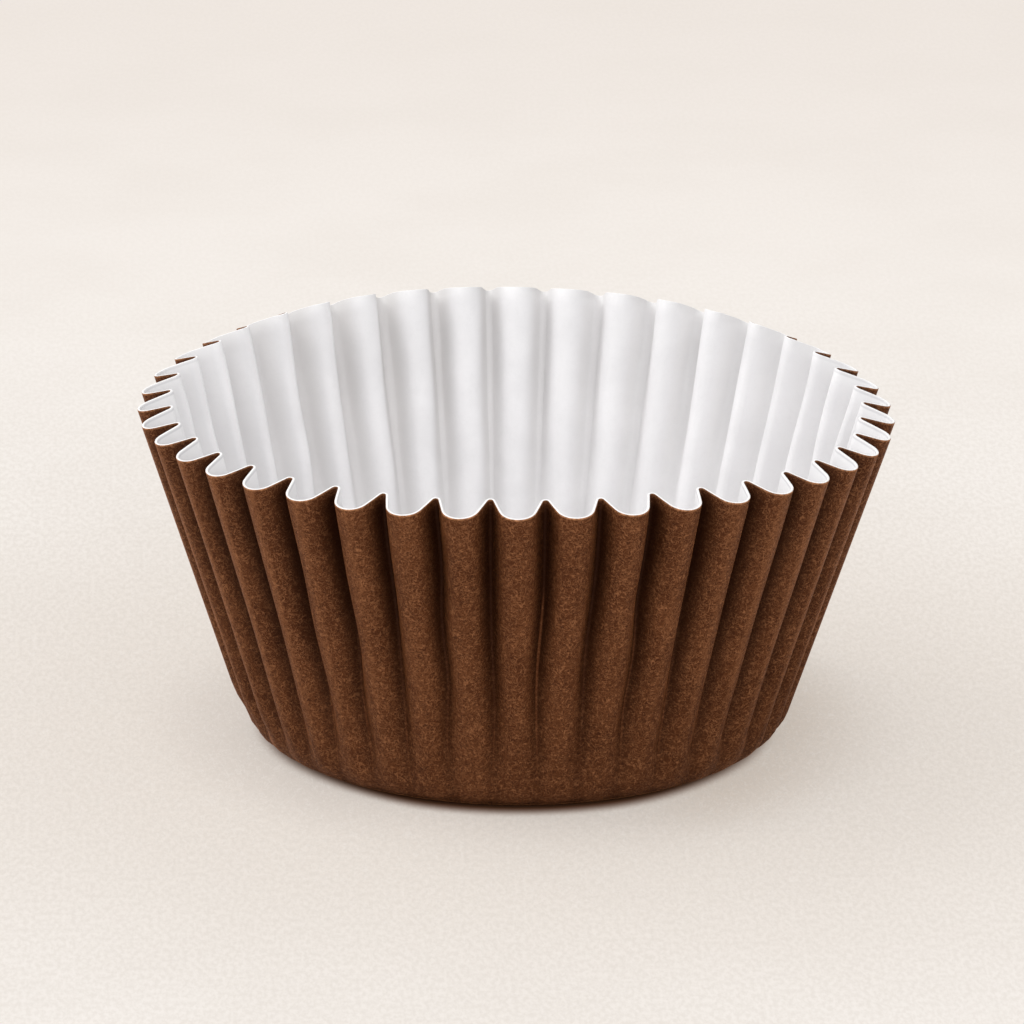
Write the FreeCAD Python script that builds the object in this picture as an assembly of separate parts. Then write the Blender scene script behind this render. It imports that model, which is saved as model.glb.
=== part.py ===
"""Sweet case: one disc of paper, pressed into a round cup with a fluted wall.

The flat disc stays flat in the middle, turns up at a rounded corner and leans outwards as the wall.
Paper can't stretch or shrink, so a ring of the disc keeps its length when it is drawn in to the
smaller ring of the wall, and what is left over is gathered into flutes. The flutes are therefore
worked out from the paper that has to go into them: none at the floor, deepest at the rim. Every line
that runs up the wall is straight, as it has to be in folded paper.

The frame has its origin at the centre of the underside, on the axis, with +Z up. Sizes are in mm.
"""
import FreeCAD, Part
import math
import os

from FreeCAD import Vector

PAPER_THICKNESS = 0.15

# The run of the sheet from the middle outwards, along the line of a lobe, at mid thickness.
FLOOR_RADIUS = 14.0           # flat floor, from the axis to where it starts to turn up
CORNER_RADIUS = 3.0           # bend from the floor up into the wall
WALL_LENGTH = 19.25           # straight slanted run from the corner to the cut edge
WALL_SLOPE = 71.9             # degrees between the floor and the wall

# The flutes. Each is a round lobe outside, two flat flanks and a narrow fold inside. Radii are at mid
# thickness, and grow evenly from a crease where the wall starts to their full size at the rim.
FLUTES = 41
FLANK_ANGLE = 69.0            # degrees that a flank stands off the wall
CREASE_RADIUS = 0.12          # of fold and lobe where the wall starts
FOLD_RADIUS = 0.25            # at the rim
LOBE_RADIUS = 0.95            # at the rim
CREASE_FLANK = 0.03           # length of a flank in the corner

CORNER_BANDS = 2              # rows of faces in the corner
ARC_FACETS = 3                # facets from the middle of a fold or lobe to its flank
SEW_TOLERANCE = 0.002         # largest gap that is closed when the faces are joined
ANGLE_TOLERANCE = 1e-7        # how closely a crease's angle is worked out, in radians
FLAT_TOLERANCE = 1e-9         # volume in mm3 between four corners that still lie in one plane

# Worked out from the sizes above.
HALF_PITCH = math.pi / FLUTES
SLOPE = math.radians(WALL_SLOPE)
CORNER_RUN = CORNER_RADIUS * SLOPE


def lobe_line(run):
    """Radius, height and slope of the lobes' line, at a distance along the sheet from the floor's edge."""
    slope = min(run / CORNER_RADIUS, SLOPE)
    straight = max(run - CORNER_RUN, 0.0)
    radius = FLOOR_RADIUS + CORNER_RADIUS * math.sin(slope) + straight * math.cos(slope)
    height = PAPER_THICKNESS / 2 + CORNER_RADIUS * (1 - math.cos(slope)) + straight * math.sin(slope)
    return radius, height, slope


def crease_angle(spare, lean):
    """Angle of the flanks in the corner, where they and the radii stay as they are."""
    low, high = 0.0, math.pi / 2
    while high - low > ANGLE_TOLERANCE:
        angle = (low + high) / 2
        gain = 2 * CREASE_RADIUS * (angle - math.sin(angle)) + CREASE_FLANK * (1 - math.cos(angle))
        depth = 2 * CREASE_RADIUS * (1 - math.cos(angle)) + CREASE_FLANK * math.sin(angle)
        if gain - lean * depth < spare:
            low = angle
        else:
            high = angle
    return angle


def flute(run):
    """Angle of the flanks, fold radius, lobe radius, flank length, half width and depth of a flute.

    The half width is what the wall has room for, measured half way between the lobes and the folds.
    What the flute takes up beyond it is the paper that is spare at this distance from the floor.
    """
    radius, height, slope = lobe_line(run)
    lean = HALF_PITCH * math.sin(slope) / 2
    spare = (FLOOR_RADIUS + run - radius) * HALF_PITCH
    grown = (run - CORNER_RUN) / WALL_LENGTH
    if grown < 0:
        angle = crease_angle(spare, lean)
        fold = lobe = CREASE_RADIUS
        flank = CREASE_FLANK
    else:
        angle = math.radians(FLANK_ANGLE)
        fold = CREASE_RADIUS + (FOLD_RADIUS - CREASE_RADIUS) * grown
        lobe = CREASE_RADIUS + (LOBE_RADIUS - CREASE_RADIUS) * grown
        gain = (fold + lobe) * (angle - math.sin(angle) - lean * (1 - math.cos(angle)))
        flank = (spare - gain) / (1 - math.cos(angle) - lean * math.sin(angle))
    depth = (fold + lobe) * (1 - math.cos(angle)) + flank * math.sin(angle)
    return angle, fold, lobe, flank, radius * HALF_PITCH - lean * depth, depth


def section(run, offset):
    """Corners of one flute of the wall's section on one side of the sheet, from fold to fold.

    The section is square to the lobes' line. Its points are first set out across from the fold and
    inwards from the lobes' line.
    """
    radius, height, slope = lobe_line(run)
    angle, fold, lobe, flank, width, depth = flute(run)
    lobe_centre = (fold + lobe) * math.sin(angle) + flank * math.cos(angle)
    turns = [angle * i / ARC_FACETS for i in range(ARC_FACETS + 1)]
    half = [((fold - offset) * math.sin(turn), depth - fold + (fold - offset) * math.cos(turn))
            for turn in turns]
    half += [(lobe_centre - (lobe + offset) * math.sin(turn), lobe - (lobe + offset) * math.cos(turn))
             for turn in reversed(turns)]
    whole = half + [(2 * width - across, inward) for across, inward in reversed(half)]
    corners = []
    for across, inward in whole:
        turn = across / width * HALF_PITCH
        r = radius - inward * math.sin(slope)
        corners.append(Vector(r * math.cos(turn), r * math.sin(turn), height + inward * math.cos(slope)))
    return corners


def floor_rim(offset, above):
    """One flute's share of the floor's edge, with a corner straight below each corner of a section."""
    height = PAPER_THICKNESS / 2 - offset
    turns = [math.atan2(corner.y, corner.x) for corner in above]
    return [Vector(FLOOR_RADIUS * math.cos(turn), FLOOR_RADIUS * math.sin(turn), height) for turn in turns]


def all_round(shape):
    """Copies of one flute's shape, side by side round the axis."""
    return [shape.rotated(Vector(0, 0, 0), Vector(0, 0, 1), 360 * i / FLUTES) for i in range(FLUTES)]


def band(lower, upper):
    """Flat faces between two rows of corners, all round: four-sided where that is flat, or else two."""
    faces = []
    for i in range(len(lower) - 1):
        a, b, c, d = lower[i], lower[i + 1], upper[i + 1], upper[i]
        if abs((b - a).cross(d - a).dot(c - a)) < FLAT_TOLERANCE:
            outlines = [(a, b, c, d, a)]
        elif i < len(lower) // 2:
            outlines = [(a, b, d, a), (b, c, d, b)]
        else:
            outlines = [(a, b, c, a), (a, c, d, a)]
        for outline in outlines:
            faces += all_round(Part.Face(Part.makePolygon(outline)))
    return faces


def skin(offset):
    """Floor and wall faces of one side of the sheet, and its row of corners at the rim."""
    runs = [CORNER_RUN * i / CORNER_BANDS for i in range(1, CORNER_BANDS + 1)]
    runs.append(CORNER_RUN + WALL_LENGTH)
    rows = [section(run, offset) for run in runs]
    rows.insert(0, floor_rim(offset, rows[0]))
    outline = [copy for ends in zip(rows[0], rows[0][1:]) for copy in all_round(Part.makeLine(*ends))]
    faces = [Part.Face(Part.Wire(Part.__sortEdges__(outline)))]
    for lower, upper in zip(rows, rows[1:]):
        faces += band(lower, upper)
    return faces, rows[-1]


def sweet_case():
    """The folded sheet: outer skin, inner skin and the cut edge that joins them at the rim."""
    outer_faces, outer_rim = skin(PAPER_THICKNESS / 2)
    inner_faces, inner_rim = skin(-PAPER_THICKNESS / 2)
    shell = Part.Compound(outer_faces + inner_faces + band(outer_rim, inner_rim))
    shell.sewShape(SEW_TOLERANCE)
    solid = Part.Solid(shell.Shells[0])
    if solid.Volume < 0:
        solid.reverse()
    return solid


def main():
    os.makedirs("parts", exist_ok=True)
    case = sweet_case()
    case.exportStep("parts/case.step")
    print("valid", case.isValid(), "solids", len(case.Solids), "faces", len(case.Faces))
    print("volume %.1f mm3" % case.Volume, case.BoundBox)
    for name, run in (("crease", CORNER_RUN), ("rim", CORNER_RUN + WALL_LENGTH)):
        angle, fold, lobe, flank, width, depth = flute(run)
        print(name, "flank %.3f, half width %.3f, depth %.3f" % (flank, width, depth))


main()
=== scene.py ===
"""Sweet case: the looks of the folded paper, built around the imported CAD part.

The paper is one thin mesh on the CAD's own lines. It has the same lobe line, number of flutes and
thickness, but more rows and corners than the CAD's flat faces, and flutes that also get flatter
towards the floor, as pressed paper's do. It is brown outside and white inside and along the cut edge.
"""
import math
import random

import bpy
import numpy as np
from mathutils import Matrix, Vector

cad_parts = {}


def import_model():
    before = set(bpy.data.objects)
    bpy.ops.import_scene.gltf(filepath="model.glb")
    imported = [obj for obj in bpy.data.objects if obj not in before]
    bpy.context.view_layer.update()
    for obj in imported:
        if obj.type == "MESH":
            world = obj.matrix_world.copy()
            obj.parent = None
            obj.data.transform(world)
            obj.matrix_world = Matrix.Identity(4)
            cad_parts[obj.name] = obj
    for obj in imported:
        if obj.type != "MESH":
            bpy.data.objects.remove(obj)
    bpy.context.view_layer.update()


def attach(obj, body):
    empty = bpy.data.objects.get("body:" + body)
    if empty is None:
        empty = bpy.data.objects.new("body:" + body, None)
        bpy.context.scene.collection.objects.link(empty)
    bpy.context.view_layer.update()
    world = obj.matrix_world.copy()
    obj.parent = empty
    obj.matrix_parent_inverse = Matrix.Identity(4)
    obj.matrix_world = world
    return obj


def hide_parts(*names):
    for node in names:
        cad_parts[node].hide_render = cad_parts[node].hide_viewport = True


MM = 0.001

# The sheet, in mm, as in the CAD source. A run is a distance along the sheet from the floor's edge: up
# to WALL_RUN at the cut edge, and negative on the floor.
PAPER_THICKNESS = 0.15
FLOOR_RADIUS = 14.0
CORNER_RADIUS = 3.0
WALL_LENGTH = 19.25
SLOPE = math.radians(71.9)
FLUTES = 41
HALF_PITCH = math.pi / FLUTES
CORNER_RUN = CORNER_RADIUS * SLOPE
WALL_RUN = CORNER_RUN + WALL_LENGTH

# The flutes' section: how much of its paper is bent, and the fold's share of that. The folds are
# pressed sharper at the front (-Y) than at the sides, and softest at the back.
BENT_SHARE = 0.57
FRONT_FOLD_SHARE = 0.19
SIDE_FOLD_SHARE = 0.27
BACK_FOLD_SHARE = 0.74
BACK_REACH = 6                # how quickly that goes from the back to the sides
CORNER_FADE = 5.4             # run over which the flutes come up from nothing
LEAST_RUN = 0.01              # run from which a section can be worked out
LEAST_ANGLE = 1e-3            # of the flanks
ANGLE_STEPS = 40              # halvings to find the flanks' angle
DEPTH_STEPS = 6               # rounds to find a flute's depth
LEAST_DEPTH = 0.001           # below it, a row counts as having no flutes

# Facets of half a flute, rows of the sheet, and the mesh's materials in their order.
FOLD_FACETS = 5
FLANK_FACETS = 2
LOBE_FACETS = 7
FLOOR_ROWS = (1.0, 6.0, 11.0, 13.0)     # their radii, in mm
CORNER_ROWS = 7
WALL_ROWS = 22
EDGE_ROUND = 0.02             # rounding of the cut edge, in mm
OUTSIDE, INSIDE, EDGE = range(3)

# How far the case is out of true, in mm. Apart from the folds' sway, all of it is reached at the rim.
SEED = 7
RIM_TILT = math.radians(0.5)  # +X side lower
RIM_SADDLE = 0.40             # front and back higher than the sides
RIM_RAISE = 0.03              # all of the rim higher than the CAD's
RIM_SAG = 0.30                # dip of the rim at the front left
SAG_TURN = math.radians(-120)  # which way the dip lies
SAG_REACH = 8                 # how quickly the dip goes to either side
FOLD_STRAY = 0.05             # a fold's place along the rim
FOLD_SWAY = 0.17              # a fold's sway on its way up
FOLD_WAVES = (1, 2)           # waves of that on the way up
DEPTH_STRAY = 0.05            # share of a fold's depth
ROUND_STRAY = 0.05            # of the lobe line
ROUND_WAVES = (3, 4, 5, 7)    # waves of that round the axis

# The cut edge at the back, in mm: it dips between the folds, and rises at those beside the back.
BACK_NOTCH = 0.22             # dip at the back
SIDE_NOTCH = 0.6              # more of it to the left and right of the back
NOTCH_REACH = 1.0             # how far in from the lobes' line it goes
SIDE_LIFT = 0.5               # rise at the folds
LIFT_START = 0.8              # how far in from the lobes' line that begins
NOTCH_GROWTH = 12             # how late both come up towards the rim

# The bottom corner, which is pushed in at the left (-X), in mm.
CORNER_SAG = 0.32
CORNER_SAG_HEIGHT = 1.9       # of its middle
CORNER_SAG_SPREAD = 0.9       # up and down
CORNER_SAG_REACH = 4          # how quickly it goes to either side

# The camera. It stands at this distance from a target on the case's axis, and aims a little off it.
CAMERA_AZIMUTH = math.radians(-92.5)
CAMERA_ELEVATION = math.radians(18.8)
CAMERA_DISTANCE = 0.600
CAMERA_ROLL = math.radians(0.57)
CAMERA_LENS = 347.0
CAMERA_SENSOR = 36.0
CAMERA_CLIP = (0.01, 50.0)
TARGET_HEIGHT = 9.0 * MM
AIM_UP = 4.37 * MM
AIM_RIGHT = -0.24 * MM

# The light: lamps with place and size in metres and power in watts, and the world.
LAMP_AIM = (0, 0, 0.01)
KEY_LAMP = {"place": (-0.56, 0.14, 0.77), "size": (0.7, 0.7), "power": 5.2, "colour": (1.0, 0.99, 0.985)}
FILL_LAMP = {"place": (0.10, -0.85, 0.45), "size": (1.0, 0.6), "power": 2.9, "colour": (1.0, 1.0, 1.0)}
WORLD_COLOUR = (1.0, 0.99, 0.982, 1.0)
WORLD_STRENGTH = 0.60

# Colours of the outer face, in display values 0 to 255.
DYE_DARK, DYE_LIGHT = (83, 46, 23), (100, 59, 33)
PAINTED_CREST_HIGHLIGHT = (158, 104, 68)   # painted highlight along the lobes at the sides
DYE_GRAIN = (72, 38, 20)
PAINTED_SIDE_SHADE = (60, 28, 12)       # painted shade at the sides
DARK_FIBRE = (46, 21, 9)
BRIGHT_FIBRE = (163, 110, 74)
# painted highlight right under the cut edge
PAINTED_EDGE_HIGHLIGHT = (196, 138, 96)
# painted shade down in the folds
PAINTED_FOLD_SHADE = (38, 15, 5)
# painted highlight at the folds' tips
PAINTED_FOLD_TIP_HIGHLIGHT = (150, 90, 54)
# painted shade where the corner turns under
PAINTED_UNDER_SHADE = (16, 6, 2)
SHEEN_TINT = (206, 132, 80)
SHEEN_WEIGHT = 0.52
SHEEN_ROUGHNESS = 0.16

# Colours of the inner face and the cut edge.
WHITE_DARK, WHITE_LIGHT = (243, 242, 243), (250, 249, 250)
WHITE_FIBRE = (226, 225, 226)
# painted shade between the inner folds
PAINTED_GROOVE_SHADE = (196, 192, 188)
# painted shade over the inner face apart from the folds' tips
PAINTED_BESIDE_SHADE = (221, 220, 221)
# painted shade low inside the case
PAINTED_BASE_SHADE = (226, 225, 226)
WHITE_LINE = (178, 178, 182)
EDGE_DARK, EDGE_LIGHT = (246, 245, 244), (255, 255, 255)

# Colours of the floor.
# the close tone is darker, as painted shade close by the case
CARD_FAR, CARD_NEAR, CARD_CLOSE_SHADE = (239, 231, 224), (247, 241, 235), (235, 226, 217)
CARD_LEFT_SHADE, CARD_RIGHT_SHADE = (212, 203, 195), (214, 198, 181)
CARD_BLOTCH = (234, 226, 218)
CARD_TOOTH = (214, 206, 197)
CARD_FIBRE = (250, 245, 240)
# painted contact shadow where the case stands
PAINTED_CONTACT_SHADOW = (128, 86, 60)

# How fine the patterns are, in waves per metre, and how high the papers' tooth is, in mm.
BROWN_GRAIN, BROWN_CLOUDS, BROWN_FAINT = 6000, 260, 5200
WHITE_GRAIN, WHITE_CLOUDS = 2600, 320
EDGE_GRAIN = 5200
CARD_GRAIN, CARD_BLOTCHES = 3600, 70
BROWN_HEIGHT, WHITE_HEIGHT, EDGE_HEIGHT, CARD_HEIGHT = 0.015, 0.012, 0.01, 0.03

# Fibres: how fine they are, how wide, and where their pattern is taken from.
BRIGHT_FIBRES = ((1900, 0.024, (0.3, 0.1, 0.2)), (2200, 0.028, (0.7, 0.4, 0.9)),
                 (2500, 0.032, (0.5, 0.8, 0.3)))
DARK_FIBRES = (2300, 0.050, (0.9, 0.7, 0.1))
WHITE_FIBRES = (1600, 0.05, (0.4, 0.2, 0.6))
CARD_FIBRES = (2600, 0.05, (0.2, 0.6, 0.3))

# Where the looks of the paper change, in mm.
SHALLOW, DEEP = 0.2, 1.9      # depth of the flutes from which, and up to which, shade grows
UNDER_START = WALL_RUN - 2.4  # run below the rim where the painted shade under the corner starts
UNDER_END = WALL_RUN - 1.0    # and where it is full

# Where the looks of the floor change, in metres from the axis.
CONTACT_START, CONTACT_END = 0.0149, 0.0168        # the contact shade clears
SHADE_START, SHADE_END = 0.0165, 0.0240            # the shade beside the case clears
NEAR_START, NEAR_END = 0.02, 0.06                  # the painted shade close by the case turns into the near tone
FAR_START, FAR_END = 0.07, 0.17                    # and that into the far one
TOOTH_START, TOOTH_END = 0.03, 0.11                # the tooth gets fainter
FIBRE_START, FIBRE_END = 0.02, 0.07                # the fibres fade out
GLOW_START, GLOW_END = 0.0147, 0.0165              # the card's own light comes up
MORE_GLOW_START, MORE_GLOW_END = 0.016, 0.027      # and some more of it

# The same along X, in metres.
ASIDE_START, ASIDE_END = 0.005, 0.013              # either way, from in front of the case to beside it
CONTACT_SIDE = 0.0006         # how much less far the contact shade goes beside it
LEFT_TO_RIGHT = 0.010         # either way, where its shade has its left and its right tone

SHADE_SHARE = 0.52            # how strong the shade beside the case is
GLOW_SHARE = 0.60             # of the card's colour, as its own light
MORE_GLOW_SHARE = 0.24
CARD_STRETCH = 2.5            # how much longer the card's grain is along Y than along X
FLOOR_REACH = 6.0             # in metres, from the middle of the floor to its edges


# ---------------------------------------------------------------- the sheet

def lobe_line(run):
    """Radius, height and slope of the lobes' line, at a distance along the sheet from the floor's edge."""
    slope = min(max(run, 0.0) / CORNER_RADIUS, SLOPE)
    straight = max(run - CORNER_RUN, 0.0)
    radius = FLOOR_RADIUS + min(run, 0.0) + CORNER_RADIUS * math.sin(slope) + straight * math.cos(slope)
    height = PAPER_THICKNESS / 2 + CORNER_RADIUS * (1 - math.cos(slope)) + straight * math.sin(slope)
    return radius, height, slope


def flank_angle(ratio):
    """Angle at which half a flute's width is this share of its paper."""
    base_shade, high = LEAST_ANGLE, math.pi / 2
    for _ in range(ANGLE_STEPS):
        angle = (base_shade + high) / 2
        share = BENT_SHARE * math.sin(angle) / angle + (1 - BENT_SHARE) * math.cos(angle)
        if share > ratio:
            base_shade = angle
        else:
            high = angle
    return angle


def half_flute(run, fold_part):
    """Points (share of the half width, inward) of half a flute's section, from its fold to its lobe.

    Of the paper that is bent, this part is in the fold and the rest in the lobe.
    """
    radius, _, slope = lobe_line(run)
    paper = (FLOOR_RADIUS + run) * HALF_PITCH
    lean = HALF_PITCH * math.sin(slope) / 2
    flank = (1 - BENT_SHARE) * paper
    depth = 0.0
    for _ in range(DEPTH_STEPS):
        width = radius * HALF_PITCH - lean * depth
        angle = flank_angle(min(width / paper, 1.0))
        bend = BENT_SHARE * paper / angle
        depth = bend * (1 - math.cos(angle)) + flank * math.sin(angle)
    fold, lobe = fold_part * bend, (1 - fold_part) * bend
    points = []
    for i in range(FOLD_FACETS + 1):
        turn = angle * i / FOLD_FACETS
        points.append((fold * math.sin(turn), depth - fold * (1 - math.cos(turn))))
    start = points[-1]
    for i in range(1, FLANK_FACETS + 1):
        along = flank * i / FLANK_FACETS
        points.append((start[0] + along * math.cos(angle), start[1] - along * math.sin(angle)))
    for i in range(1, LOBE_FACETS + 1):
        turn = angle * (1 - i / LOBE_FACETS)
        points.append((width - lobe * math.sin(turn), lobe * (1 - math.cos(turn))))
    return [(across / width, inward) for across, inward in points]


def smooth_random(rng, waves, size):
    """A smooth function of 0..1 made of a few random waves, about as large as size."""
    parts = [(rng.uniform(-1, 1) * size, rng.uniform(0.6, 1.4) * wave, rng.uniform(0, 2 * math.pi))
             for wave in waves]
    return lambda share: sum(height * math.sin(2 * math.pi * pace * share + start)
                             for height, pace, start in parts)


def round_random(rng, waves, size):
    """The same round the axis, closed on itself."""
    parts = [(rng.uniform(-1, 1) * size, wave, rng.uniform(0, 2 * math.pi)) for wave in waves]
    return lambda turn: sum(height * math.sin(wave * turn + start) for height, wave, start in parts)


class Strays:
    """How far the folds and the lobes' line are off their places. The order of the draws matters."""

    def __init__(self):
        rng = random.Random(SEED)
        self.place = [rng.uniform(-1, 1) * FOLD_STRAY for _ in range(FLUTES)]
        self.sway = [smooth_random(rng, FOLD_WAVES, FOLD_SWAY) for _ in range(FLUTES)]
        self.depth = [rng.uniform(-1, 1) * DEPTH_STRAY for _ in range(FLUTES)]
        self.more_depth = [smooth_random(rng, FOLD_WAVES, DEPTH_STRAY) for _ in range(FLUTES)]
        self.out_of_round = round_random(rng, ROUND_WAVES, ROUND_STRAY)

    def along(self, fold, grown):
        """How far along the rim a fold is off its place, in mm, at this share of its way up."""
        return self.place[fold] * grown + self.sway[fold](grown) * math.sin(math.pi * grown)

    def scale(self, fold, grown):
        """A fold's depth there, as a share of what it should be."""
        return 1 + (self.depth[fold] + self.more_depth[fold](grown)) * grown


def backness(turn):
    """1 at the back of the case (+Y), falling to 0 at the front."""
    return ((1 + np.sin(turn)) / 2) ** BACK_REACH


def fold_share(turn):
    """The fold's share of the bent paper, for a flute that points this way."""
    side = (SIDE_FOLD_SHARE - FRONT_FOLD_SHARE) * math.cos(turn) ** 2
    return FRONT_FOLD_SHARE + side + (BACK_FOLD_SHARE - FRONT_FOLD_SHARE) * backness(turn)


def eased(share):
    """0 to 1 without a corner at either end."""
    share = min(max(share, 0.0), 1.0)
    return share * share * (3 - 2 * share)


def back_notch(turn, inward):
    """How far the cut edge dips at the back: down between the folds, and up at them."""
    beside = math.cos(turn) ** 2
    dip = (BACK_NOTCH + SIDE_NOTCH * beside) * max(1 - inward / NOTCH_REACH, 0.0) ** 2
    return backness(turn) * (dip - SIDE_LIFT * beside * eased(inward - LIFT_START))


def corner_sag(turn, height):
    """How far in the bottom corner is pushed, which is soft on the -X side."""
    away = (height - CORNER_SAG_HEIGHT) / CORNER_SAG_SPREAD
    return CORNER_SAG * max(-math.cos(turn), 0.0) ** CORNER_SAG_REACH * math.exp(-away * away)


def flute_points(flute, run, strays):
    """Turn round the axis, and how far in from the lobes' line, of a flute's points in one row."""
    grown = max(run, 0.0) / WALL_RUN
    radius = lobe_line(run)[0]
    middle = 2 * HALF_PITCH * (flute + 0.5)
    half = half_flute(max(run, LEAST_RUN), fold_share(middle))
    points = []
    for side, fold in ((1, flute), (-1, (flute + 1) % FLUTES)):
        fold_turn = middle - side * HALF_PITCH + strays.along(fold, grown) / radius
        scale = strays.scale(fold, grown) * eased(run / CORNER_FADE)
        for share, inward in half[::side][:-1]:
            points.append((fold_turn + share * (middle - fold_turn), inward * scale))
    return points


def sheet_point(run, turn, inward, strays):
    """A point at mid thickness, in mm, with all that is out of true."""
    radius, height, slope = lobe_line(run)
    grown = max(run, 0.0) / WALL_RUN
    r = radius - inward * math.sin(slope) + strays.out_of_round(turn) * grown - corner_sag(turn, height)
    x, y = r * math.cos(turn), r * math.sin(turn)
    rise = RIM_RAISE - math.tan(RIM_TILT) * x - RIM_SADDLE * math.cos(2 * turn)
    rise -= RIM_SAG * max(math.cos(turn - SAG_TURN), 0.0) ** SAG_REACH
    notch = back_notch(turn, inward) * grown ** NOTCH_GROWTH
    return x, y, height + inward * math.cos(slope) + grown * rise - notch


def sheet_runs():
    """The run of each row of the sheet, from the middle of the floor to the cut edge."""
    runs = [radius - FLOOR_RADIUS for radius in FLOOR_ROWS]
    runs += [CORNER_RUN * i / CORNER_ROWS for i in range(CORNER_ROWS)]
    runs += [CORNER_RUN + (WALL_LENGTH - EDGE_ROUND) * i / WALL_ROWS for i in range(WALL_ROWS + 1)]
    return runs + [WALL_RUN]


def mid_sheet():
    """Grids at mid thickness with a row for each run: the points in mm, how far in from the lobes' line
    each one lies, and its turn round the axis. Also the rows' runs."""
    strays = Strays()
    runs = sheet_runs()
    places = [[place for flute in range(FLUTES) for place in flute_points(flute, run, strays)]
              for run in runs]
    points = [[sheet_point(run, turn, inward, strays) for turn, inward in row]
              for run, row in zip(runs, places)]
    turns, inwards = np.moveaxis(np.array(places), 2, 0)
    return np.array(points), inwards, turns, runs


def sheet_normals(grid):
    """Unit normals of the closed grid, pointing outwards and down."""
    around = np.roll(grid, -1, axis=1) - np.roll(grid, 1, axis=1)
    up = np.empty_like(grid)
    up[1:-1] = grid[2:] - grid[:-2]
    up[0] = grid[1] - grid[0]
    up[-1] = grid[-1] - grid[-2]
    normals = np.cross(around, up)
    normals /= np.linalg.norm(normals, axis=2, keepdims=True)
    normals[:len(FLOOR_ROWS)] = (0, 0, -1)
    return normals


def skins(grid):
    """The sheet's outer and inner skin, which come closer at the cut edge to round it."""
    normals = sheet_normals(grid)
    half = np.full((len(grid), 1, 1), PAPER_THICKNESS / 2)
    half[-1] -= EDGE_ROUND
    outer = grid + normals * half
    outer[..., 2] = np.maximum(outer[..., 2], 0.0)
    return outer, grid - normals * half


def sheet_faces(rows, columns):
    """Faces over both skins from the outer floor to the inner one, each with its material's number."""
    faces, slots = [], []
    for j in range(2 * rows - 1):
        for k in range(columns):
            k2 = (k + 1) % columns
            faces.append((j * columns + k, j * columns + k2, (j + 1) * columns + k2, (j + 1) * columns + k))
        slots += [OUTSIDE if j < rows - 1 else (EDGE if j <= rows else INSIDE)] * columns
    bottom, top = 2 * rows * columns, 2 * rows * columns + 1
    for k in range(columns):
        k2 = (k + 1) % columns
        faces += [(bottom, k2, k), (top, bottom - columns + k, bottom - columns + k2)]
        slots += [OUTSIDE, INSIDE]
    return faces, slots


def both_skins(values):
    """A grid's values in the order of the mesh's points: outer skin, inner skin, the two middles."""
    return np.concatenate([values.ravel(), values[::-1].ravel(), [0, 0]])


def add_attribute(mesh, name, values):
    """A number for every point, for the materials to read."""
    attribute = mesh.attributes.new(name, "FLOAT", "POINT")
    attribute.data.foreach_set("value", np.asarray(values, dtype=np.float32))


def paper_mesh():
    """The sheet with its thickness: outer skin, rounded cut edge, inner skin.

    For the materials each point has its run to the rim, how far inward it is, from 0 on a lobe to 1 at
    the tip of a fold, the depth of the flutes there, and which way it is from the axis: "back" is 1 at
    the back, and "aside" goes from -1 on the -X side to 1 on the +X side.
    """
    grid, inwards, turns, runs = mid_sheet()
    rows, columns = inwards.shape
    outer, inner = skins(grid)
    middles = [(0, 0, 0), (0, 0, PAPER_THICKNESS)]
    points = np.concatenate([outer.reshape(-1, 3), inner[::-1].reshape(-1, 3), middles]) * MM
    faces, slots = sheet_faces(rows, columns)
    mesh = bpy.data.meshes.new("folded_paper")
    mesh.from_pydata(points.tolist(), [], faces)
    mesh.polygons.foreach_set("material_index", slots)
    mesh.polygons.foreach_set("use_smooth", [True] * len(faces))

    depths = np.repeat(inwards.max(axis=1, keepdims=True), columns, axis=1)
    run_of = np.repeat(np.array(runs)[:, None], columns, axis=1)
    add_attribute(mesh, "to_rim", WALL_RUN - both_skins(run_of))
    add_attribute(mesh, "inward", both_skins(inwards / np.maximum(depths, LEAST_DEPTH)))
    add_attribute(mesh, "depth", both_skins(depths))
    add_attribute(mesh, "back", both_skins(backness(turns)))
    add_attribute(mesh, "aside", both_skins(np.cos(turns)))
    mesh.update()
    return mesh


# ---------------------------------------------------------------- materials

def linear(red, green, blue):
    """The linear colour of display values 0 to 255, by the usual display curve, with full alpha."""
    def channel(value):
        share = value / 255
        return share / 12.92 if share <= 0.04045 else ((share + 0.055) / 1.055) ** 2.4
    return channel(red), channel(green), channel(blue), 1.0


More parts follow.
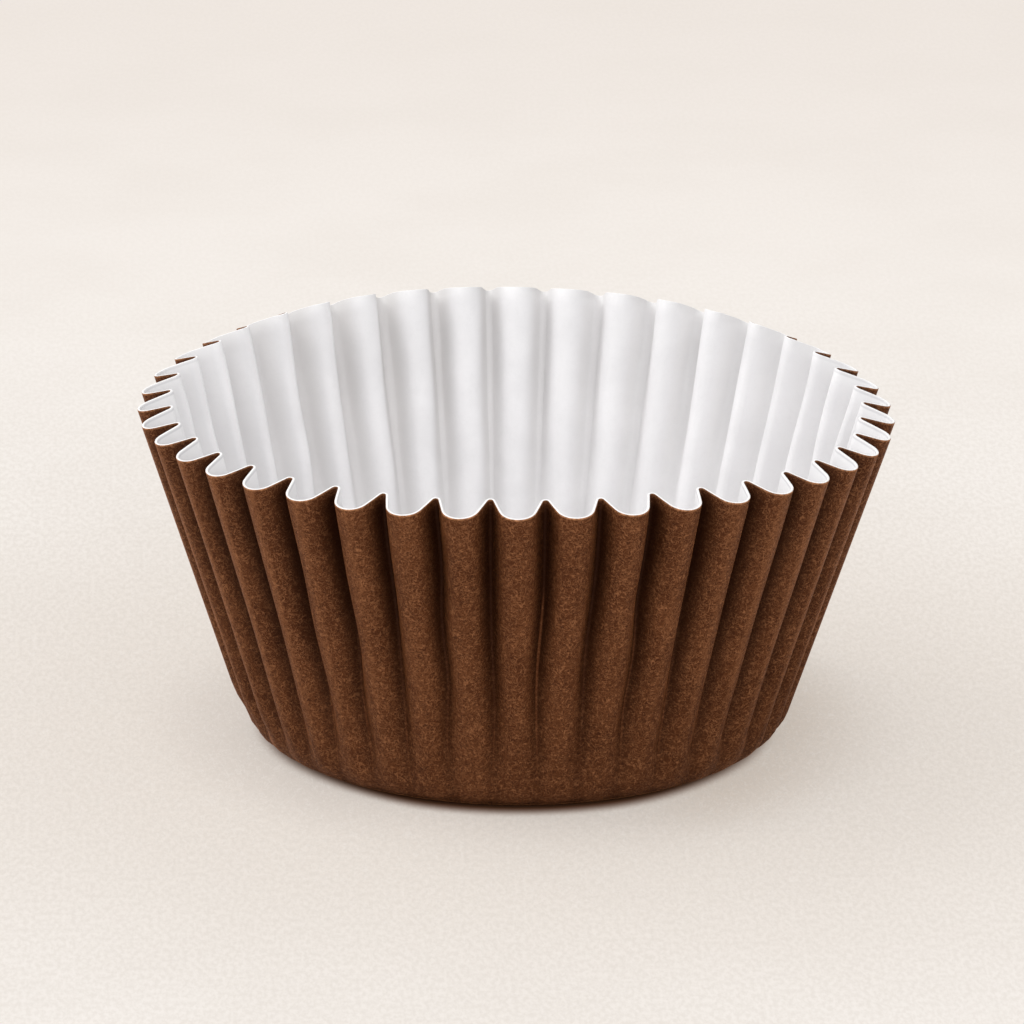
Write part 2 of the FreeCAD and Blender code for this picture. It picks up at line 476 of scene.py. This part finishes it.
class Nodes:
    """A material's node tree, with short ways to add and join nodes."""

    def __init__(self, name):
        self.material = bpy.data.materials.new(name)
        self.material.use_nodes = True
        self.tree = self.material.node_tree
        self.tree.nodes.clear()
        self.out = self.add("OutputMaterial")
        self.shader = self.add("BsdfPrincipled")
        self.feed(self.out.inputs["Surface"], self.shader.outputs["BSDF"])
        self.place = self.add("TexCoord").outputs["Object"]

    def add(self, kind):
        return self.tree.nodes.new("ShaderNode" + kind)

    def feed(self, target, value):
        """Join a socket to an input, or set the input to a number or to a colour in display values."""
        if isinstance(value, bpy.types.NodeSocket):
            self.tree.links.new(value, target)
        else:
            target.default_value = linear(*value) if isinstance(value, tuple) else value

    def noise(self, scale, detail=2.0, rough=0.5, distortion=0.0, place=None):
        node = self.add("TexNoise")
        self.feed(node.inputs["Vector"], place or self.place)
        self.feed(node.inputs["Scale"], scale)
        self.feed(node.inputs["Detail"], detail)
        self.feed(node.inputs["Roughness"], rough)
        self.feed(node.inputs["Distortion"], distortion)
        return node.outputs["Fac"]

    def moved(self, offset, stretch=1.0):
        """The place in the material's space, moved, and with patterns stretched along Y."""
        node = self.add("Mapping")
        self.feed(node.inputs["Vector"], self.place)
        node.inputs["Location"].default_value = offset
        node.inputs["Scale"].default_value = (1.0, 1.0 / stretch, 1.0)
        return node.outputs["Vector"]

    def math(self, kind, a, b=0.0):
        node = self.add("Math")
        node.operation = kind
        self.feed(node.inputs[0], a)
        self.feed(node.inputs[1], b)
        return node.outputs[0]

    def times(self, product, *factors):
        for factor in factors:
            product = self.math("MULTIPLY", product, factor)
        return product

    def ranged(self, value, base_shade, high, to_low=0.0, to_high=1.0, smooth=True):
        node = self.add("MapRange")
        node.interpolation_type = "SMOOTHSTEP" if smooth else "LINEAR"
        self.feed(node.inputs["Value"], value)
        self.feed(node.inputs["From Min"], base_shade)
        self.feed(node.inputs["From Max"], high)
        self.feed(node.inputs["To Min"], to_low)
        self.feed(node.inputs["To Max"], to_high)
        return node.outputs["Result"]

    def spread(self, noise, to_low=0.0, to_high=1.0):
        """A noise, most of which lies between 0.3 and 0.7, spread over another range."""
        return self.ranged(noise, 0.3, 0.7, to_low, to_high)

    def mix(self, share, a, b):
        node = self.add("Mix")
        node.data_type = "RGBA"
        self.feed(node.inputs["Factor"], share)
        self.feed(node.inputs["A"], a)
        self.feed(node.inputs["B"], b)
        return node.outputs["Result"]

    def attribute(self, name):
        node = self.add("Attribute")
        node.attribute_name = name
        return node.outputs["Fac"]

    def fibres(self, scale, width, offset, stretch=1.0):
        """Thin curly lines, where a distorted noise passes its middle value."""
        wander = self.noise(scale, 1.0, 0.5, 1.2, self.moved(offset, stretch))
        away = self.math("ABSOLUTE", self.math("SUBTRACT", wander, 0.5))
        return self.ranged(away, 0.0, width, 1.0, 0.0)

    def paint(self, colour, roughness, specular):
        """The shader's colour, roughness and how strongly it reflects."""
        self.feed(self.shader.inputs["Base Color"], colour)
        self.feed(self.shader.inputs["Roughness"], roughness)
        self.feed(self.shader.inputs["Specular IOR Level"], specular)

    def bump(self, height, distance, strength):
        node = self.add("Bump")
        self.feed(node.inputs["Distance"], distance)
        self.feed(node.inputs["Strength"], strength)
        self.feed(node.inputs["Height"], height)
        self.feed(self.shader.inputs["Normal"], node.outputs["Normal"])


def dye_and_crest_highlight(nodes, grain, side):
    """The dye, in soft clouds and with a fine dark grain, with a painted highlight along the lobes' crests
    at the sides.
    """
    colour = nodes.mix(nodes.spread(nodes.noise(BROWN_CLOUDS, 3.0, 0.55)), DYE_DARK, DYE_LIGHT)
    crest = nodes.ranged(nodes.attribute("inward"), 0.0, 0.05, 0.80, 0.0)
    crest = nodes.times(crest, side, nodes.ranged(nodes.attribute("depth"), 0.3, 1.2))
    colour = nodes.mix(crest, colour, PAINTED_CREST_HIGHLIGHT)
    return nodes.mix(nodes.spread(grain, 0.0, 0.6), colour, DYE_GRAIN)


def bright_fibres(nodes):
    """Three layers of fibres, fainter here and there along their way."""
    first, second, third = [nodes.fibres(*layer) for layer in BRIGHT_FIBRES]
    lines = nodes.math("MAXIMUM", nodes.math("MAXIMUM", first, second), third)
    faint = nodes.noise(BROWN_FAINT, 1.0, 0.5, 0.0, nodes.moved((0.2, 0.9, 0.5)))
    return nodes.times(lines, nodes.ranged(faint, 0.35, 0.60, 0.42, 1.0))


def felted_with_side_highlight(nodes, colour, lines, side):
    """Dark and bright fibres over the dye, the bright ones a little stronger at the sides as a painted
    highlight.
    """
    colour = nodes.mix(nodes.times(nodes.fibres(*DARK_FIBRES), 0.50), colour, DARK_FIBRE)
    bright = nodes.math("ADD", nodes.times(side, 0.14), 0.62)
    return nodes.mix(nodes.times(lines, bright), colour, BRIGHT_FIBRE)


def edge_highlight_line(nodes, grain):
    """How strong the painted highlight is right under the cut edge, broken up by the grain."""
    under = nodes.ranged(nodes.attribute("to_rim"), 0.02, 0.15, 1.0, 0.0)
    return nodes.times(under, nodes.ranged(grain, 0.4, 0.62, 0.30, 1.0))


def fold_shade(nodes, side):
    """How much painted shade the outer face gets down in a fold: less at its tip, in a shallow one and near
    the rim.
    """
    inward, depth = nodes.attribute("inward"), nodes.attribute("depth")
    start = nodes.ranged(depth, SHALLOW, DEEP, 0.28, 0.0, False)
    start = nodes.math("SUBTRACT", start, nodes.times(side, 0.14))
    down = nodes.ranged(nodes.math("SUBTRACT", inward, start), 0.03, 0.78)
    tip = nodes.ranged(inward, 0.95, 0.99, 1.0, 0.58)
    pressed = nodes.ranged(depth, SHALLOW, DEEP, 0.25, 0.92)
    rim = nodes.ranged(nodes.attribute("to_rim"), 0.0, 0.9, 0.50, 1.0)
    return nodes.times(down, tip, pressed, rim)


def fold_tip_highlight(nodes):
    """How much painted highlight the very tip of a fold gets, but not at the back."""
    tip = nodes.ranged(nodes.attribute("inward"), 0.94, 0.99, 0.0, 0.16)
    deep = nodes.ranged(nodes.attribute("depth"), 0.4, 1.2)
    return nodes.times(tip, deep, nodes.ranged(nodes.attribute("back"), 0.0, 0.25, 1.0, 0.0))


def brown_paper():
    """Dyed outer face: dark brown, felted with fine curly fibres, some of them orange-brown."""
    nodes = Nodes("brown_paper")
    aside = nodes.attribute("aside")
    side = nodes.times(aside, aside)
    grain = nodes.noise(BROWN_GRAIN, 2.0, 0.6)
    lines = bright_fibres(nodes)
    colour = felted_with_side_highlight(nodes, dye_and_crest_highlight(nodes, grain, side), lines, side)
    # painted highlight right under the cut edge
    colour = nodes.mix(edge_highlight_line(nodes, grain), colour, PAINTED_EDGE_HIGHLIGHT)
    # painted shade at the sides
    colour = nodes.mix(nodes.times(side, 0.12), colour, PAINTED_SIDE_SHADE)
    # painted shade down in the folds
    colour = nodes.mix(fold_shade(nodes, side), colour, PAINTED_FOLD_SHADE)
    # painted highlight at the folds' tips
    colour = nodes.mix(fold_tip_highlight(nodes), colour, PAINTED_FOLD_TIP_HIGHLIGHT)
    # painted shade where the corner turns under
    under = nodes.ranged(nodes.attribute("to_rim"), UNDER_START, UNDER_END, 0.0, 0.97)
    nodes.paint(nodes.mix(under, colour, PAINTED_UNDER_SHADE), nodes.spread(grain, 0.48, 0.66), 0.06)
    nodes.feed(nodes.shader.inputs["Sheen Weight"], SHEEN_WEIGHT)
    nodes.feed(nodes.shader.inputs["Sheen Roughness"], SHEEN_ROUGHNESS)
    nodes.feed(nodes.shader.inputs["Sheen Tint"], SHEEN_TINT)
    nodes.bump(nodes.math("ADD", nodes.times(lines, 0.6), grain), BROWN_HEIGHT * MM, 0.6)
    return nodes.material


def groove_shade(nodes):
    """How much painted shade the inner face gets between the folds: most in deep ones, at the back and at
    -X.
    """
    groove = nodes.ranged(nodes.attribute("inward"), 0.25, 0.95, 1.0, 0.0)
    pressed = nodes.ranged(nodes.attribute("depth"), SHALLOW, DEEP, 0.06, 0.36)
    back = nodes.ranged(nodes.attribute("back"), 0.08, 0.55, 0.35, 1.0)
    left = nodes.ranged(nodes.attribute("aside"), -0.35, 0.35, 1.3, 0.6)
    return nodes.times(groove, pressed, back, left)


def beside_shade(nodes):
    """How much painted shade all of the inner face gets apart from the folds' tips, which stand out against
    it.
    """
    beside = nodes.ranged(nodes.attribute("inward"), 0.78, 0.985, 1.0, 0.0)
    front = nodes.ranged(nodes.attribute("back"), 0.20, 0.80, 0.30, 0.15)
    return nodes.times(beside, front, nodes.ranged(nodes.attribute("depth"), SHALLOW, 1.4))


def rim_line(nodes):
    """A faint grey line just inside the cut edge, but not at the back."""
    to_rim = nodes.attribute("to_rim")
    line = nodes.times(nodes.ranged(to_rim, 0.05, 0.12), nodes.ranged(to_rim, 0.15, 0.26, 0.38, 0.0))
    return nodes.times(line, nodes.ranged(nodes.attribute("back"), 0.0, 0.2, 1.0, 0.0))


def white_paper():
    """Uncoated inner face: white, with faint fibres and a fine tooth, and painted shade down in the grooves.
    """
    nodes = Nodes("white_paper")
    grain = nodes.noise(WHITE_GRAIN, 3.0, 0.6)
    colour = nodes.mix(nodes.spread(nodes.noise(WHITE_CLOUDS, 3.0, 0.5)), WHITE_DARK, WHITE_LIGHT)
    colour = nodes.mix(nodes.times(nodes.fibres(*WHITE_FIBRES), 0.10), colour, WHITE_FIBRE)
    # painted shade between the folds
    colour = nodes.mix(groove_shade(nodes), colour, PAINTED_GROOVE_SHADE)
    # painted shade apart from the folds' tips
    colour = nodes.mix(beside_shade(nodes), colour, PAINTED_BESIDE_SHADE)
    # painted shade low inside the case, where the flutes are shallow
    base_shade = nodes.ranged(nodes.attribute("depth"), 0.0, 0.7, 0.7, 0.0)
    colour = nodes.mix(base_shade, colour, PAINTED_BASE_SHADE)
    colour = nodes.mix(rim_line(nodes), colour, WHITE_LINE)
    nodes.paint(colour, nodes.spread(grain, 0.55, 0.7), 0.35)
    nodes.bump(grain, WHITE_HEIGHT * MM, 0.5)
    return nodes.material


def cut_edge():
    """The sheet's white core where it was cut."""
    nodes = Nodes("cut_edge")
    grain = nodes.noise(EDGE_GRAIN, 2.0, 0.6)
    nodes.paint(nodes.mix(nodes.spread(grain), EDGE_DARK, EDGE_LIGHT), 0.7, 0.3)
    nodes.bump(grain, EDGE_HEIGHT * MM, 0.5)
    return nodes.material


def card_tones(nodes, out, x, aside):
    """The card's tone from close by the case, darker there as painted shade, to far off, with the case's
    shade on either side.
    """
    shade = nodes.mix(nodes.ranged(x, -LEFT_TO_RIGHT, LEFT_TO_RIGHT), CARD_LEFT_SHADE, CARD_RIGHT_SHADE)
    lee = nodes.times(aside, nodes.ranged(out, SHADE_START, SHADE_END, SHADE_SHARE, 0.0))
    # painted shade close by the case
    close = nodes.mix(lee, CARD_CLOSE_SHADE, shade)
    near = nodes.mix(nodes.ranged(out, NEAR_START, NEAR_END), close, CARD_NEAR)
    return nodes.mix(nodes.ranged(out, FAR_START, FAR_END), near, CARD_FAR)


def card_grain(nodes, colour, grain, out):
    """Blotches all over, and a tooth and pale fibres that are plainer near the case."""
    blotch = nodes.ranged(nodes.noise(CARD_BLOTCHES, 3.0, 0.5), 0.35, 0.7, 0.0, 0.25)
    colour = nodes.mix(blotch, colour, CARD_BLOTCH)
    tooth = nodes.times(nodes.spread(grain, 0.0, 0.36), nodes.ranged(out, TOOTH_START, TOOTH_END, 1.0, 0.25))
    colour = nodes.mix(tooth, colour, CARD_TOOTH)
    pale = nodes.fibres(*CARD_FIBRES, CARD_STRETCH)
    pale = nodes.times(pale, nodes.ranged(out, FIBRE_START, FIBRE_END, 0.22, 0.0))
    return nodes.mix(pale, colour, CARD_FIBRE)


def own_light(nodes, colour, out, reach):
    """For the camera, make part of the card's colour its own light, so that shadows on it stay soft."""
    share = nodes.math("ADD", nodes.ranged(reach, GLOW_START, GLOW_END, 0.0, GLOW_SHARE),
                       nodes.ranged(out, MORE_GLOW_START, MORE_GLOW_END, 0.0, MORE_GLOW_SHARE))
    glow = nodes.add("Emission")
    nodes.feed(glow.inputs["Color"], colour)
    blend = nodes.add("MixShader")
    nodes.feed(blend.inputs["Fac"], nodes.times(share, nodes.add("LightPath").outputs["Is Camera Ray"]))
    nodes.feed(blend.inputs[1], nodes.shader.outputs["BSDF"])
    nodes.feed(blend.inputs[2], glow.outputs["Emission"])
    nodes.feed(nodes.out.inputs["Surface"], blend.outputs["Shader"])


def floor_card():
    """Pale backdrop card with a fine tooth, with painted shade where the case stands on it and close beside
    it.
    """
    nodes = Nodes("floor_card")
    length = nodes.add("VectorMath")
    length.operation = "LENGTH"
    nodes.feed(length.inputs[0], nodes.place)
    out = length.outputs["Value"]
    parts = nodes.add("SeparateXYZ")
    nodes.feed(parts.inputs[0], nodes.place)
    x = parts.outputs["X"]
    aside = nodes.ranged(nodes.math("ABSOLUTE", x), ASIDE_START, ASIDE_END)
    reach = nodes.math("ADD", out, nodes.times(aside, CONTACT_SIDE))

    grain = nodes.noise(CARD_GRAIN, 2.0, 0.6, 0.0, nodes.moved((0.0, 0.0, 0.0), CARD_STRETCH))
    clear = card_grain(nodes, card_tones(nodes, out, x, aside), grain, out)
    # painted contact shadow where the case stands
    colour = nodes.mix(nodes.ranged(reach, CONTACT_START, CONTACT_END), PAINTED_CONTACT_SHADOW, clear)
    nodes.paint(colour, 0.85, 0.1)
    nodes.bump(grain, CARD_HEIGHT * MM, 0.5)
    own_light(nodes, colour, out, reach)
    return nodes.material


# ---------------------------------------------------------------- the scene

def add(name, data):
    piece = bpy.data.objects.new(name, data)
    bpy.context.scene.collection.objects.link(piece)
    return piece


def paper_piece():
    mesh = paper_mesh()
    for material in (brown_paper(), white_paper(), cut_edge()):
        mesh.materials.append(material)
    piece = add("folded_paper", mesh)
    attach(piece, "root")
    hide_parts("case")


def floor():
    mesh = bpy.data.meshes.new("floor")
    corners = [(x * FLOOR_REACH, y * FLOOR_REACH, 0) for x, y in ((-1, -1), (1, -1), (1, 1), (-1, 1))]
    mesh.from_pydata(corners, [], [(0, 1, 2, 3)])
    mesh.materials.append(floor_card())
    piece = add("floor", mesh)


def lamp(name, place, size, power, colour):
    light = bpy.data.lights.new(name, "AREA")
    light.shape = "RECTANGLE"
    light.size, light.size_y = size
    light.energy = power
    light.color = colour
    piece = add(name, light)
    piece.location = place
    piece.rotation_euler = (Vector(LAMP_AIM) - Vector(place)).to_track_quat("-Z", "Y").to_euler()


def world():
    sky = bpy.data.worlds.new("studio")
    bpy.context.scene.world = sky
    sky.use_nodes = True
    back = sky.node_tree.nodes["Background"]
    back.inputs["Color"].default_value = WORLD_COLOUR
    back.inputs["Strength"].default_value = WORLD_STRENGTH


def camera():
    data = bpy.data.cameras.new("camera")
    data.lens = CAMERA_LENS
    data.sensor_width = CAMERA_SENSOR
    data.clip_start, data.clip_end = CAMERA_CLIP
    piece = add("camera", data)
    away = Vector((math.cos(CAMERA_AZIMUTH) * math.cos(CAMERA_ELEVATION),
                   math.sin(CAMERA_AZIMUTH) * math.cos(CAMERA_ELEVATION), math.sin(CAMERA_ELEVATION)))
    target = Vector((0, 0, TARGET_HEIGHT))
    right = Vector((0, 0, 1)).cross(away).normalized()
    up = away.cross(right)
    place = target + away * CAMERA_DISTANCE
    aim = target + up * AIM_UP + right * AIM_RIGHT
    look = (aim - place).to_track_quat("-Z", "Y").to_matrix().to_4x4()
    piece.matrix_world = Matrix.Translation(place) @ look @ Matrix.Rotation(CAMERA_ROLL, 4, "Z")
    bpy.context.scene.camera = piece


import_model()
paper_piece()
floor()
world()
lamp("key", **KEY_LAMP)
lamp("fill", **FILL_LAMP)
camera()
bpy.context.scene.view_settings.view_transform = "Standard"
